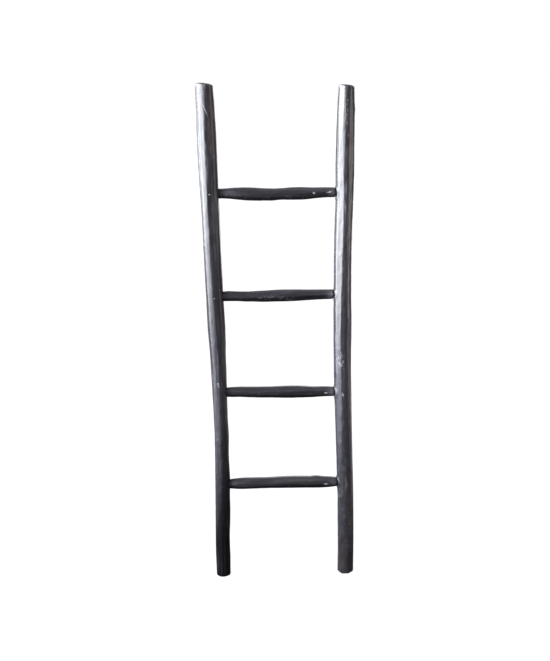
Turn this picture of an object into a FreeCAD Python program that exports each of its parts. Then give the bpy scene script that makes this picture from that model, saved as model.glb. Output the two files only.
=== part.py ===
import FreeCAD, Part
import math
import os
from typing import NamedTuple

import Sketcher

# Decorative pole ladder: two crooked poles joined by four rungs, all hewn by hand to long flats.
# Each rung ends in round tenons, set in blind mortises in the poles and pinned by nails from the front.
# Millimetres. +Z runs up the poles, +X goes to the right seen from the front, and the front faces -Y.
# The origin lies on the floor, midway between the feet.

# Sizes shared by the poles and the rungs
LADDER = {
    "rail_spacing": 380,
    "bottom_rung_height": 309,
    "rung_pitch": 298,
    "foot_bevel": 5,
    "head_bevel": 4,
    "bevel_angle": 40,
    "mouth_diameter": 29,
    "tenon_diameter": 27,
    "tenon_reach": 10,
    "tenon_chamfer": 2,
    "neck_run": 16,
    "shoulder_gap": 0.3,
    "mortise_clearance": 0.15,
    "mortise_end_gap": 0.5,
    "nail_diameter": 3.2,
    "nail_length": 40,
    "nail_point": 4,
    "nail_set": 0.3,
    "nail_clearance": 0.05,
    "nail_end_gap": 0.4,
}

# Flats left round a piece by the drawknife. The poles' flats face the front and the back squarely.
RAIL_FLATS = 14
RUNG_FLATS = 12

# Each pole has its length to the middle of its top cut, the slope of that cut and its bow to the back.
# At each station along it, the pole has a sideways bow, towards +X, and a diameter across its ridges.
RAILS = {
    "left": {
        "length": 1498,
        "head_slope": 8,
        "back_bow": 4,
        "stations": {
            "foot": (-1, 45),
            "bottom_rung": (5, 46),
            "lower_rung": (6.5, 45),
            "upper_rung": (1, 52.5),
            "top_rung": (-2.5, 52.5),
            "shoulder": (-3.5, 54),
            "head": (-5.5, 48),
        },
    },
    "right": {
        "length": 1491,
        "head_slope": 5,
        "back_bow": -3,
        "stations": {
            "foot": (6.5, 51),
            "bottom_rung": (4.5, 51),
            "lower_rung": (-3, 53),
            "upper_rung": (-5, 53),
            "top_rung": (0, 52),
            "shoulder": (2, 53.5),
            "head": (5, 45),
        },
    },
}

# A rung's right end lies above its left end by its rise, and its middle below both by its sag.
RUNGS = {
    "bottom_rung": {
        "rise": 1,
        "sag": -1.3,
        "neck": 33.5,
        "left_belly": 36.5,
        "middle": 37,
        "right_belly": 38.5,
    },
    "lower_rung": {
        "rise": -3.5,
        "sag": 0.5,
        "neck": 31,
        "left_belly": 35,
        "middle": 37,
        "right_belly": 36,
    },
    "upper_rung": {
        "rise": 2,
        "sag": 0.8,
        "neck": 29.5,
        "left_belly": 30.5,
        "middle": 36.5,
        "right_belly": 34,
    },
    "top_rung": {
        "rise": -2,
        "sag": 3.5,
        "neck": 30,
        "left_belly": 38,
        "middle": 34.5,
        "right_belly": 35,
    },
}

RUNG_NAMES = list(RUNGS)

# Sketches are first drawn at this radius, and then driven to their own sizes.
DRAFT_RADIUS = 20


class Point(NamedTuple):
    """The expressions that place a sketch: its coordinates in the body's own frame."""

    x: str
    y: str
    z: str


def fill_sheet(document):
    """Write every driving dimension into the sheet, each under its own alias."""
    sheet = document.addObject("Spreadsheet::Sheet", "Sizes")
    sizes = dict(LADDER)
    for side, rail in RAILS.items():
        for name in ("length", "head_slope", "back_bow"):
            sizes[f"{side}_{name}"] = rail[name]
        for station, (bow, diameter) in rail["stations"].items():
            sizes[f"{side}_{station}_bow"] = bow
            sizes[f"{side}_{station}_diameter"] = diameter
    for rung, shape in RUNGS.items():
        for name, value in shape.items():
            sizes[f"{rung}_{name}"] = value
    for row, (alias, value) in enumerate(sizes.items(), start=1):
        sheet.set(f"A{row}", alias)
        sheet.set(f"B{row}", str(value))
        sheet.setAlias(f"B{row}", alias)
    document.recompute()


def size(alias):
    """Return the expression for one cell of the sheet."""
    return f"Sizes.{alias}"


def rung_height(rung):
    """Return the expression for the height of a rung's middle above the floor, before its sag."""
    return f"({size('bottom_rung_height')} + {RUNG_NAMES.index(rung)} * {size('rung_pitch')})"


def tenon_rise(rung, side):
    """Return the expression for the height of a rung's tenon above the rung's middle."""
    share = {"left": -0.5, "right": 0.5}[side]
    return f"({share} * {size(rung + '_rise')})"


def station_height(side, station):
    """Return the expression for the height of a station on a pole."""
    head = f"({size(side + '_length')} - {size('head_bevel')})"
    if station == "foot":
        return size("foot_bevel")
    if station == "head":
        return head
    if station == "shoulder":
        return f"(({rung_height('top_rung')} + {head}) / 2)"
    return rung_height(station)


def rail_x(side):
    """Return the expression for the place of a pole's nominal axis across the ladder."""
    sign = {"left": "-", "right": ""}[side]
    return f"({sign}{size('rail_spacing')} / 2)"


def rail_bow(side, station):
    """Return the expression for a pole's sideways bow at a station."""
    return size(f"{side}_{station}_bow")


def rail_radius(side, station):
    """Return the expression for a pole's radius at a station."""
    return f"({size(f'{side}_{station}_diameter')} / 2)"


def rail_y(side, height):
    """Return the expression for a pole's bow to the back, an even arch from its foot to its top."""
    return f"({size(side + '_back_bow')} * sin(180 deg * {height} / {size(side + '_length')}))"


def joint_y(side, rung):
    """Return the expression for how far behind the ladder's plane a joint lies."""
    return rail_y(side, rung_height(rung))


def tenon_bare(side, rung):
    """Return the expression for the length from a pole's axis to the shoulder of a rung's tenon."""
    return f"({rail_radius(side, rung)} + {size('shoulder_gap')})"


def rung_mouth(side, rung):
    """Return the expression for the place across the ladder where a rung's barrel meets a pole."""
    inward = {"left": "+", "right": "-"}[side]
    return f"({rail_x(side)} + {rail_bow(side, rung)} {inward} {tenon_bare(side, rung)})"


def nail_front(side, rung):
    """Return the expression for the y of a nail's blunt end, just under the flat at the pole's front."""
    flat = f"{rail_radius(side, rung)} * cos(180 deg / {RAIL_FLATS})"
    return f"({joint_y(side, rung)} - {flat} + {size('nail_set')})"


def origin_plane(body, role):
    """Return one of a body's own origin planes."""
    return next(plane for plane in body.Origin.OriginFeatures if plane.Role == role)


def add_sketch(body, name, role, place):
    """Add a sketch on one of a body's origin planes, moved to a place given in the body's frame."""
    sketch = body.newObject("Sketcher::SketchObject", name)
    sketch.AttachmentSupport = [(origin_plane(body, role), "")]
    sketch.MapMode = "FlatFace"
    offsets = {
        "XY_Plane": (place.x, place.y, place.z),
        "XZ_Plane": (place.x, place.z, f"-({place.y})"),
        "YZ_Plane": (place.y, place.z, place.x),
    }[role]
    for axis, offset in zip("xyz", offsets):
        sketch.setExpression(f"AttachmentOffset.Base.{axis}", offset)
    return sketch


def add_circle(body, name, role, place, diameter):
    """Add a sketch of one circle, centred on its place."""
    sketch = add_sketch(body, name, role, place)
    circle = Part.Circle(FreeCAD.Vector(), FreeCAD.Vector(0, 0, 1), DRAFT_RADIUS)
    sketch.addGeometry(circle, False)
    sketch.addConstraint(Sketcher.Constraint("Coincident", 0, 3, -1, 1))
    bound = sketch.addConstraint(Sketcher.Constraint("Diameter", 0, 2 * DRAFT_RADIUS))
    sketch.setExpression(f"Constraints[{bound}]", diameter)
    return sketch


def add_hewn_section(body, name, role, place, diameter, flats):
    """Add a sketch of an even polygon, with its corners on a circle round its place."""
    sketch = add_sketch(body, name, role, place)
    turns = [2 * math.pi * index / flats for index in range(flats)]
    corners = [DRAFT_RADIUS * FreeCAD.Vector(math.cos(turn), math.sin(turn), 0) for turn in turns]
    for index in range(flats):
        sketch.addGeometry(Part.LineSegment(corners[index], corners[(index + 1) % flats]), False)
    circle = Part.Circle(FreeCAD.Vector(), FreeCAD.Vector(0, 0, 1), DRAFT_RADIUS)
    rim = sketch.addGeometry(circle, True)
    sketch.addConstraint(Sketcher.Constraint("Coincident", rim, 3, -1, 1))
    for index in range(flats):
        sketch.addConstraint(Sketcher.Constraint("Coincident", index, 2, (index + 1) % flats, 1))
        sketch.addConstraint(Sketcher.Constraint("PointOnObject", index, 1, rim))
    for index in range(1, flats):
        sketch.addConstraint(Sketcher.Constraint("Equal", 0, index))
    sketch.addConstraint(Sketcher.Constraint("PointOnObject", 0, 1, -1))
    bound = sketch.addConstraint(Sketcher.Constraint("Diameter", rim, 2 * DRAFT_RADIUS))
    sketch.setExpression(f"Constraints[{bound}]", diameter)
    return sketch


def add_loft(body, name, sections):
    """Add a smooth loft through a row of sections."""
    loft = body.newObject("PartDesign::AdditiveLoft", name)
    loft.Profile = sections[0]
    loft.Sections = sections[1:]
    return loft


def add_pad(body, name, profile, length, backwards):
    """Pad a profile along its normal, or against it."""
    pad = body.newObject("PartDesign::Pad", name)
    pad.Profile = profile
    pad.Reversed = backwards
    pad.setExpression("Length", length)
    return pad


def bore(body, name, profile, forwards):
    """Cut a hole from a profile out through the body, along the profile's normal or against it."""
    face_count = len(body.Tip.Shape.Faces)
    pocket = body.newObject("PartDesign::Pocket", name)
    pocket.Profile = profile
    pocket.Type = "ThroughAll"
    pocket.Reversed = forwards
    body.Document.recompute()
    if len(pocket.Shape.Faces) <= face_count:
        raise RuntimeError(f"{body.Label}: {name} cuts nothing")


def make_rail(document, side):
    """Make one pole: a loft through its stations, bevelled ends, mortises and nail holes."""
    body = document.addObject("PartDesign::Body", f"{side}_rail")
    body.setExpression("Placement.Base.x", rail_x(side))
    sections = []
    for station in RAILS[side]["stations"]:
        height = station_height(side, station)
        place = Point(rail_bow(side, station), rail_y(side, height), height)
        diameter = size(f"{side}_{station}_diameter")
        name = f"{side}_{station}_section"
        sections.append(add_hewn_section(body, name, "XY_Plane", place, diameter, RAIL_FLATS))
    slope_across = FreeCAD.Rotation(FreeCAD.Vector(0, 1, 0), RAILS[side]["head_slope"])
    head = sections[-1]
    head.AttachmentOffset = FreeCAD.Placement(head.AttachmentOffset.Base, slope_across)
    head.setExpression("AttachmentOffset.Rotation.Angle", size(f"{side}_head_slope"))
    document.recompute()

    add_loft(body, f"{side}_pole", sections)
    foot = add_pad(body, f"{side}_foot", sections[0], size("foot_bevel"), backwards=True)
    top = add_pad(body, f"{side}_head", sections[-1], size("head_bevel"), backwards=False)
    for end in (foot, top):
        end.setExpression("TaperAngle", f"-{size('bevel_angle')}")
    document.recompute()

    for rung in RUNG_NAMES:
        cut_joint(body, side, rung)
    return body


def cut_joint(body, side, rung):
    """Cut one mortise, open towards the rung, and the hole of its nail, open to the front."""
    outward = {"left": "-", "right": "+"}[side]
    height = f"{rung_height(rung)} + {tenon_rise(rung, side)}"
    bow = rail_bow(side, rung)
    behind = joint_y(side, rung)
    front = nail_front(side, rung)

    mortise_depth = f"({size('tenon_reach')} + {size('mortise_end_gap')})"
    bottom = Point(f"{bow} {outward} {mortise_depth}", behind, height)
    diameter = f"{size('tenon_diameter')} + 2 * {size('mortise_clearance')}"
    mortise = add_circle(body, f"{side}_{rung}_mortise_sketch", "YZ_Plane", bottom, diameter)
    bore(body, f"{side}_{rung}_mortise", mortise, forwards=side == "left")

    tip = Point(bow, f"{front} + {size('nail_length')} + {size('nail_end_gap')}", height)
    shaft = add_circle(body, f"{side}_{rung}_nail_sketch", "XZ_Plane", tip, nail_hole())
    bore(body, f"{side}_{rung}_nail_hole", shaft, forwards=True)


def nail_hole():
    """Return the expression for the diameter of the hole round a nail."""
    return f"{size('nail_diameter')} + 2 * {size('nail_clearance')}"


def make_rung(document, rung):
    """Make one rung: a whittled barrel between the poles, with a tenon at each end."""
    body = document.addObject("PartDesign::Body", rung)
    body.setExpression("Placement.Base.z", rung_height(rung))
    left = rung_mouth("left", rung)
    right = rung_mouth("right", rung)
    ends = {
        "left": Point(left, joint_y("left", rung), tenon_rise(rung, "left")),
        "right": Point(right, joint_y("right", rung), tenon_rise(rung, "right")),
    }

    def place(share):
        """Return the middle of the rung at a share of the way from the left mouth to the right one."""
        x, y, z = (f"({a} + {share} * ({b} - {a}))" for a, b in zip(ends["left"], ends["right"]))
        return Point(x, y, f"({z} - {4 * share * (1 - share)} * {size(rung + '_sag')})")

    neck = size("neck_run")
    stations = {
        "left_mouth": (ends["left"], size("mouth_diameter")),
        "left_neck": (ends["left"]._replace(x=f"{left} + {neck}"), size(f"{rung}_neck")),
        "left_belly": (place(0.25), size(f"{rung}_left_belly")),
        "middle": (place(0.5), size(f"{rung}_middle")),
        "right_belly": (place(0.75), size(f"{rung}_right_belly")),
        "right_neck": (ends["right"]._replace(x=f"{right} - {neck}"), size(f"{rung}_neck")),
        "right_mouth": (ends["right"], size("mouth_diameter")),
    }
    sections = [
        add_hewn_section(body, f"{rung}_{name}_section", "YZ_Plane", where, diameter, RUNG_FLATS)
        for name, (where, diameter) in stations.items()
    ]
    document.recompute()

    add_loft(body, f"{rung}_barrel", sections)
    for side, end in ends.items():
        shoulder = add_circle(body, f"{rung}_{side}_shoulder", "YZ_Plane", end, size("tenon_diameter"))
        length = f"{tenon_bare(side, rung)} + {size('tenon_reach')}"
        add_pad(body, f"{rung}_{side}_tenon", shoulder, length, backwards=side == "left")
    document.recompute()
    chamfer_tenons(body, rung)
    for side in ends:
        drill_tenon(body, side, rung)
    return body


def chamfer_tenons(body, rung):
    """Chamfer the rims of a rung's two tenons, which are its outermost edges."""
    barrel = body.Tip
    reach = [edge.CenterOfMass.x for edge in barrel.Shape.Edges]
    rims = [f"Edge{reach.index(end(reach)) + 1}" for end in (min, max)]
    chamfer = body.newObject("PartDesign::Chamfer", f"{rung}_tenon_chamfer")
    chamfer.Base = (barrel, rims)
    chamfer.setExpression("Size", size("tenon_chamfer"))
    body.Document.recompute()


def drill_tenon(body, side, rung):
    """Drill a tenon for its nail, from behind the tenon out through its front."""
    x = f"{rail_x(side)} + {rail_bow(side, rung)}"
    behind = f"{joint_y(side, rung)} + {size('tenon_diameter')}"
    place = Point(x, behind, tenon_rise(rung, side))
    sketch = add_circle(body, f"{rung}_{side}_nail_sketch", "XZ_Plane", place, nail_hole())
    bore(body, f"{rung}_{side}_nail_hole", sketch, forwards=True)


def make_nail(document, side, rung):
    """Make one headless nail, turned about its own axis, with its blunt end in front."""
    body = document.addObject("PartDesign::Body", f"{side}_{rung}_nail")
    height = f"{rung_height(rung)} + {tenon_rise(rung, side)}"
    place = Point(f"{rail_x(side)} + {rail_bow(side, rung)}", nail_front(side, rung), height)
    for axis, expression in zip("xyz", place):
        body.setExpression(f"Placement.Base.{axis}", expression)

    half_shaft = f"{size('nail_diameter')} / 2"
    shaft_end = f"{size('nail_length')} - {size('nail_point')}"
    corners = [(half_shaft, "0"), (half_shaft, shaft_end)]
    sketch = add_sketch(body, f"{side}_{rung}_nail_profile", "XY_Plane", Point("0", "0", "0"))
    add_turned_profile(sketch, corners, size("nail_length"))
    document.recompute()
    turned = body.newObject("PartDesign::Revolution", f"{side}_{rung}_nail_turned")
    turned.Profile = sketch
    turned.ReferenceAxis = (sketch, ["V_Axis"])
    turned.Angle = 360
    return body


def add_turned_profile(sketch, corners, length):
    """Draw half of a turned outline: from the axis round the corners, back to the axis at its length."""
    drafts = [(0, 0), (1, 0), (1, 8), (0, 10)]
    points = [FreeCAD.Vector(x, y, 0) for x, y in drafts]
    count = len(points)
    for index in range(count):
        sketch.addGeometry(Part.LineSegment(points[index], points[(index + 1) % count]), False)
    for index in range(count):
        sketch.addConstraint(Sketcher.Constraint("Coincident", index, 2, (index + 1) % count, 1))
    sketch.addConstraint(Sketcher.Constraint("Coincident", 0, 1, -1, 1))
    sketch.addConstraint(Sketcher.Constraint("PointOnObject", count - 1, 1, -2))
    sketch.addConstraint(Sketcher.Constraint("Horizontal", 0))
    for index, (across, along) in enumerate(corners, start=1):
        bind_distance(sketch, "DistanceX", index, across)
        if index > 1:
            bind_distance(sketch, "DistanceY", index, along)
    bind_distance(sketch, "DistanceY", count - 1, length)


def bind_distance(sketch, kind, line, expression):
    """Hold the start of a line at a distance from the sketch's origin."""
    start = sketch.Geometry[line].StartPoint
    draft = start.x if kind == "DistanceX" else start.y
    index = sketch.addConstraint(Sketcher.Constraint(kind, -1, 1, line, 1, draft))
    sketch.setExpression(f"Constraints[{index}]", expression)


def make_nails(document, side):
    """Group the nails of one pole."""
    nails = [make_nail(document, side, rung) for rung in RUNG_NAMES]
    group = document.addObject("Part::Compound", f"{side}_nails")
    group.Links = nails
    return group


def check(document, parts):
    """Raise if any object of the document failed, or if a sub-part has no sound shape."""
    for item in document.Objects:
        if "Invalid" in item.State or "Error" in item.State:
            raise RuntimeError(f"{item.Label} failed: {item.State}")
    for part in parts:
        if part.Shape.isNull() or not part.Shape.isValid():
            raise RuntimeError(f"{part.Label} has no sound shape")


def main():
    """Build the ladder and write one file for each sub-part."""
    document = FreeCAD.newDocument("pole_ladder")
    fill_sheet(document)
    parts = [make_rail(document, side) for side in RAILS]
    parts += [make_rung(document, rung) for rung in RUNG_NAMES]
    parts += [make_nails(document, side) for side in RAILS]
    document.recompute()
    check(document, parts)
    os.makedirs("parts", exist_ok=True)
    for part in parts:
        part.Shape.exportStep(f"parts/{part.Label}.step")
        print(part.Label, len(part.Shape.Solids), "solids", round(part.Shape.Volume), "mm3")


main()
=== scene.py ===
"""Dresses a rustic pole ladder: two crooked hewn rails, four whittled rungs and the pins that hold them.

Lengths are metres in the ladder's own frame. +Z runs up the rails, +X goes to the right seen from the
front, and the front faces -Y. Angles in the data are degrees.
"""

import bisect
import logging
import math
import random
import statistics
from abc import ABC, abstractmethod
from dataclasses import dataclass, field
from enum import Enum
from typing import NamedTuple

import bmesh
import bpy
from mathutils import Matrix, Vector, noise
from mathutils.bvhtree import BVHTree


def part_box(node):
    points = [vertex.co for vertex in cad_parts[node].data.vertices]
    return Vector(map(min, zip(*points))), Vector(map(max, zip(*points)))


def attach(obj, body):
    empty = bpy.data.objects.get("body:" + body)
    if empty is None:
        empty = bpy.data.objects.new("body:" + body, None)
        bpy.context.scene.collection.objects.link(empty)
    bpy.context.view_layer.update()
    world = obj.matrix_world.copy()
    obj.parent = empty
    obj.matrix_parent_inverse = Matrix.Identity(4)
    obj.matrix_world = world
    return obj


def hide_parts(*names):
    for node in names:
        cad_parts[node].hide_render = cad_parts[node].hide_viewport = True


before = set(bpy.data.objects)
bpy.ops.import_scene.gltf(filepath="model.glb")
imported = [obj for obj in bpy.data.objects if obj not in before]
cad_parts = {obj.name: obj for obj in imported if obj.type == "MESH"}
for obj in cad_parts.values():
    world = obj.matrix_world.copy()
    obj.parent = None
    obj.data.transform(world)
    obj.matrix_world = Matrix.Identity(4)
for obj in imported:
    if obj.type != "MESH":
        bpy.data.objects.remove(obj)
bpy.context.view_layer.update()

LOG = logging.getLogger("ladder")
BODY = "root"
PIN_GAP = 0.05
PIN_FACE = 0.0005
BELL_REACH = 3.0
UP = Vector((0.0, 0.0, 1.0))
RIGHT = Vector((1.0, 0.0, 0.0))
FRONT = Vector((0.0, -1.0, 0.0))

Colour = tuple[float, float, float, float]
Triple = tuple[float, float, float]
Socket = bpy.types.NodeSocket
Feed = Socket | float | tuple[float, ...]
Span = tuple[float, float]
Profile = tuple[Span, ...]
WHITE: Colour = (1.0, 1.0, 1.0, 1.0)
EVEN: Triple = (1.0, 1.0, 1.0)
FULL: Span = (0.0, 1.0)


def smooth_step(share: float) -> float:
    """Eases a share from 0 to 1.

    Args:
        share: any number; it is held between 0 and 1.

    Returns:
        The eased share.
    """
    held = min(1.0, max(0.0, share))
    return held * held * (3.0 - 2.0 * held)


def bell(gap: float) -> float:
    """Gives the height of a bell curve at a gap from its middle, counted in widths of the bell."""
    return math.exp(-gap * gap)


def turn_between(angle: float, other: float) -> float:
    """Gives the shorter way round from one angle to another.

    Args:
        angle: an angle in radians.
        other: the angle that it is measured from, in radians.

    Returns:
        The turn in radians, from minus half a turn to half a turn.
    """
    return math.remainder(angle - other, math.tau)


def level_at(profile: Profile, along: float) -> float:
    """Reads a level off a profile along a stick.

    Args:
        profile: places along the stick, in rising order, and the level at each.
        along: the place to read.

    Returns:
        The level, between those of the two nearest places.
    """
    after = bisect.bisect([place for place, _ in profile], along)
    if after in (0, len(profile)):
        return profile[min(after, len(profile) - 1)][1]
    (start, first), (end, last) = profile[after - 1 : after + 1]
    return first + (last - first) * (along - start) / (end - start)


class Run(Enum):
    """Which way a stick runs. Angles round it start at the front and grow to the right, or upwards."""

    UPRIGHT = "upright"
    LEVEL = "level"

    def axis(self) -> Vector:
        """Gives the direction in which the stick runs."""
        return UP if self is Run.UPRIGHT else RIGHT

    def outward(self, angle: float) -> Vector:
        """Gives the direction that points out of the stick.

        Args:
            angle: the angle round the stick, in radians.

        Returns:
            A direction of unit length.
        """
        side = RIGHT if self is Run.UPRIGHT else UP
        return side * math.sin(angle) + FRONT * math.cos(angle)

    def stretch(self, share: float) -> Triple:
        """Gives the scale of a pattern along X, Y and Z, which is the given share along the stick."""
        return (1.0, 1.0, share) if self is Run.UPRIGHT else (share, 1.0, 1.0)


@dataclass(frozen=True)
class Section:
    """One round section through a stick."""

    centre: Vector
    radius: float


def pin_ends(node: str) -> list[Vector]:
    """Finds the front ends of the pins in one CAD node.

    Args:
        node: the node's name.

    Returns:
        The middle of each pin's front end, from the lowest pin up.
    """
    corners = sorted((vertex.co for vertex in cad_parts[node].data.vertices), key=lambda co: co.z)
    pins = [[corners[0]]]
    for corner in corners[1:]:
        if corner.z - pins[-1][-1].z > PIN_GAP:
            pins.append([])
        pins[-1].append(corner)
    ends = []
    for pin in pins:
        front = min(corner.y for corner in pin)
        rim = [corner for corner in pin if corner.y < front + PIN_FACE]
        ends.append(sum(rim, Vector()) / len(rim))
    return ends


class SolidProbe:
    """Measures one CAD solid with rays, so that the piece which stands for it keeps its size and place."""

    DIAGONALS = (math.radians(45.0), math.radians(135.0))
    REACH = 0.1
    BLUR_STEPS = 3

    def __init__(self, node: str, run: Run) -> None:
        """Reads the node's mesh.

        Args:
            node: the CAD node's name.
            run: which way its stick runs.
        """
        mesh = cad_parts[node].data
        corners = [vertex.co for vertex in mesh.vertices]
        faces = [face.vertices for face in mesh.polygons]
        self.tree = BVHTree.FromPolygons(corners, faces)
        self.run = run
        low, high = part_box(node)
        self.middle = (low + high) / 2.0
        self.low = low.dot(run.axis())
        self.high = high.dot(run.axis())

    def hit(self, start: Vector, direction: Vector) -> Vector:
        """Finds where a ray meets the solid.

        Args:
            start: where the ray starts.
            direction: the way that it goes.

        Returns:
            The first point that it meets.
        """
        point = self.tree.ray_cast(start, direction)[0]
        if point is None:
            raise ValueError(f"no solid found from {start[:]}")
        return point

    def section(self, along: float) -> Section:
        """Measures the round section at one place, with two chords across its diagonals.

        Args:
            along: the place along the stick.

        Returns:
            The section's centre and radius.
        """
        axis = self.run.axis()
        start = self.middle + axis * (along - self.middle.dot(axis))
        shifts = []
        halves = []
        for diagonal in self.DIAGONALS:
            outward = self.run.outward(diagonal)
            near = (self.hit(start + outward * self.REACH, -outward) - start).dot(outward)
            far = (self.hit(start - outward * self.REACH, outward) - start).dot(outward)
            shifts.append((near + far) / 2.0)
            halves.append((near - far) / 2.0)
        centre = start.copy()
        for diagonal, shift in zip(self.DIAGONALS, shifts):
            centre += self.run.outward(diagonal) * shift
        squares = [half**2 + shift**2 for half, shift in zip(halves, reversed(shifts))]
        return Section(centre, math.sqrt(sum(squares) / len(squares)))

    def smooth_section(self, along: float, blur: float, margin: float) -> Section:
        """Averages the section over a short stretch, which makes a slope of a step in the solid.

        Args:
            along: the place along the stick.
            blur: how far the stretch goes to either side.
            margin: how far from the solid's ends the measuring stays.

        Returns:
            The mean section.
        """
        steps = range(-self.BLUR_STEPS, self.BLUR_STEPS + 1)
        places = [along + blur * step / self.BLUR_STEPS for step in steps] if blur else [along]
        low, high = self.low + margin, self.high - margin
        sections = [self.section(min(high, max(low, place))) for place in places]
        centre = sum((section.centre for section in sections), Vector()) / len(sections)
        return Section(centre, statistics.fmean(section.radius for section in sections))

    def head_tilt(self, section: Section) -> Vector:
        """Measures the slope of an upright stick's top cut.

        Args:
            section: the stick's section just under the cut.

        Returns:
            How much the cut rises for each metre towards +X and +Y.
        """
        spread = section.radius / 2.0
        above = section.centre + UP * self.REACH
        slopes = []
        for side in (RIGHT, -FRONT):
            rise = self.hit(above + side * spread, -UP).z - self.hit(above - side * spread, -UP).z
            slopes.append(rise / (2.0 * spread))
        return Vector((slopes[0], slopes[1], 0.0))


@dataclass(frozen=True)
class KnifeFlat:
    """One pass of a drawknife, which leaves a long plane on the round of a stick."""

    angle: float
    middle: float
    length: float
    depth: float
    twist: float = 0.0

    def cut_at(self, along: float) -> tuple[float, float]:
        """Gives the plane at one place along the stick.

        Args:
            along: the place along the stick.

        Returns:
            The angle that the plane faces, in radians, and its depth under the round.
        """
        gap = along - self.middle
        share = 2.0 * gap / self.length
        return self.angle + self.twist * gap, self.depth * (1.0 - share * share)


@dataclass(frozen=True)
class RimCut:
    """One slanting knife cut that breaks the rim at a stick's end."""

    angle: float
    end: float
    width: float
    slope: float

    def cut_at(self, along: float) -> tuple[float, float]:
        """Gives the cut at one place along the stick, as KnifeFlat does."""
        return self.angle, self.slope * (self.width - abs(along - self.end))


class Touch(NamedTuple):
    """What a mark does to a point of the skin: its lift, how pale it is rubbed (bared wood, and a painted
    highlight on a few marks) and how pale and brown it gets (a painted reflection on one mark).
    """

    lift: float = 0.0
    rub_and_highlight: float = 0.0
    paled: float = 0.0
    warm: float = 0.0


@dataclass(frozen=True)
class Mark(ABC):
    """Something that sits at one place on a stick's skin."""

    along: float
    angle: float

    @abstractmethod
    def reach(self) -> float:
        """Gives how far along the stick the mark shows."""

    @abstractmethod
    def effect(self, along_gap: float, round_gap: float) -> Touch:
        """Gives what the mark does to a point of the skin.

        Args:
            along_gap: how far the point lies from the mark, along the stick.
            round_gap: how far it lies from the mark, round the stick.

        Returns:
            What it does there.
        """


@dataclass(frozen=True)
class Knot(Mark):
    """A trimmed branch: a low swelling with a creased collar round its heart."""

    radius: float = 0.012
    rise: float = 0.0012
    crease: float = 0.0005

    LENGTHENING = 0.7
    COLLAR_PLACE = 0.6
    COLLAR_WIDTH = 0.16
    HEART_WIDTH = 0.4
    HEART_RUB = 0.06

    def reach(self) -> float:
        """Gives how far along the stick the knot swells it."""
        return BELL_REACH * self.radius

    def effect(self, along_gap: float, round_gap: float) -> Touch:
        """Lifts the skin, and sinks the collar into it, as Mark says."""
        gap = math.hypot(along_gap * self.LENGTHENING, round_gap) / self.radius
        collar = self.crease * bell((gap - self.COLLAR_PLACE) / self.COLLAR_WIDTH)
        heart = self.HEART_RUB * bell(gap / self.HEART_WIDTH)
        return Touch(lift=self.rise * bell(gap) - collar, rub_and_highlight=heart)


@dataclass(frozen=True)
class Swell(Mark):
    """A thicker stretch of a stick, or a thinner one, on one side or, with no spread, all round it."""

    length: float
    rise: float
    spread: float = 0.0

    def reach(self) -> float:
        """Gives how far along the stick the swelling goes."""
        return self.length

    def effect(self, along_gap: float, round_gap: float) -> Touch:
        """Lifts the skin, as Mark says."""
        share = smooth_step(1.0 - abs(along_gap) / self.length)
        if self.spread:
            share *= bell(round_gap / self.spread)
        return Touch(lift=self.rise * share)


@dataclass(frozen=True)
class Patch(Mark):
    """A stretch painted paler than the rest, bluish or, if warm, brown: mostly stain gone pale with age,
    and on the right rail's upper right side a painted brown reflection.
    """

    length: float
    spread: float
    paled: float
    warm: float = 0.0

    def reach(self) -> float:
        """Gives how far along the stick the patch goes."""
        return self.length

    def effect(self, along_gap: float, round_gap: float) -> Touch:
        """Pales the stain, as Mark says."""
        share = smooth_step(1.0 - abs(along_gap) / self.length)
        share *= bell(round_gap / self.spread)
        return Touch(paled=self.paled * share, warm=self.warm * share)


@dataclass(frozen=True)
class Gouge(Mark):
    """A scrape: a narrow hollow, rubbed pale to some degree, whose long way slants from the grain; a few
    are painted highlights, pale dashes with little or no hollow.
    """

    length: float
    width: float
    paleness: float
    depth: float = 0.0008
    slant: float = 0.0

    REACH = 2.0

    def reach(self) -> float:
        """Gives how far along the stick the scrape goes."""
        return self.REACH * max(self.length, self.width)

    def effect(self, along_gap: float, round_gap: float) -> Touch:
        """Sinks the skin and makes it pale, for bared wood and for painted highlights, as Mark says."""
        turn = math.radians(self.slant)
        long_gap = along_gap * math.cos(turn) + round_gap * math.sin(turn)
        cross_gap = round_gap * math.cos(turn) - along_gap * math.sin(turn)
        share = bell(2.0 * long_gap / self.length) * bell(2.0 * cross_gap / self.width)
        return Touch(lift=-self.depth * share, rub_and_highlight=self.paleness * share)


@dataclass(frozen=True)
class Lip(Mark):
    """The raised edge that a boring tool leaves round the mouth of a hole."""

    rise: float
    radius: float = 0.016
    width: float = 0.004

    def reach(self) -> float:
        """Gives how far along the stick the edge shows."""
        return self.radius + BELL_REACH * self.width

    def effect(self, along_gap: float, round_gap: float) -> Touch:
        """Lifts the skin in a ring, as Mark says."""
        share = bell((math.hypot(along_gap, round_gap) - self.radius) / self.width)
        return Touch(lift=self.rise * share, paled=share)


@dataclass(frozen=True)
class Check:
    """A drying crack that runs from a stick's heart towards its rim, across its end."""

    angle: float
    inner: float
    outer: float
    width: float
    depth: float

    def sink(self, share: float, angle: float, radius: float) -> float:
        """Gives how deep the crack is at a point of the end.

        Args:
            share: how far the point lies from the heart, as a share of the radius.
            angle: the angle of the point, in radians.
            radius: the radius of the end.

        Returns:
            The depth.
        """
        turn = turn_between(angle, math.radians(self.angle))
        if abs(turn) > math.pi / 2.0 or not self.inner < share < self.outer:
            return 0.0
        across = abs(share * radius * math.sin(turn)) / self.width
        if across > 1.0:
            return 0.0
        span = (share - self.inner) / (self.outer - self.inner)
        return self.depth * (1.0 - across) * math.sin(math.pi * span) ** 0.5


@dataclass
class Ring:
    """What a stick is like at one place along it."""

    along: float
    section: Section
    cuts: list[tuple[float, float]]
    marks: list[Mark]
    sheen: float
    paled: float


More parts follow.
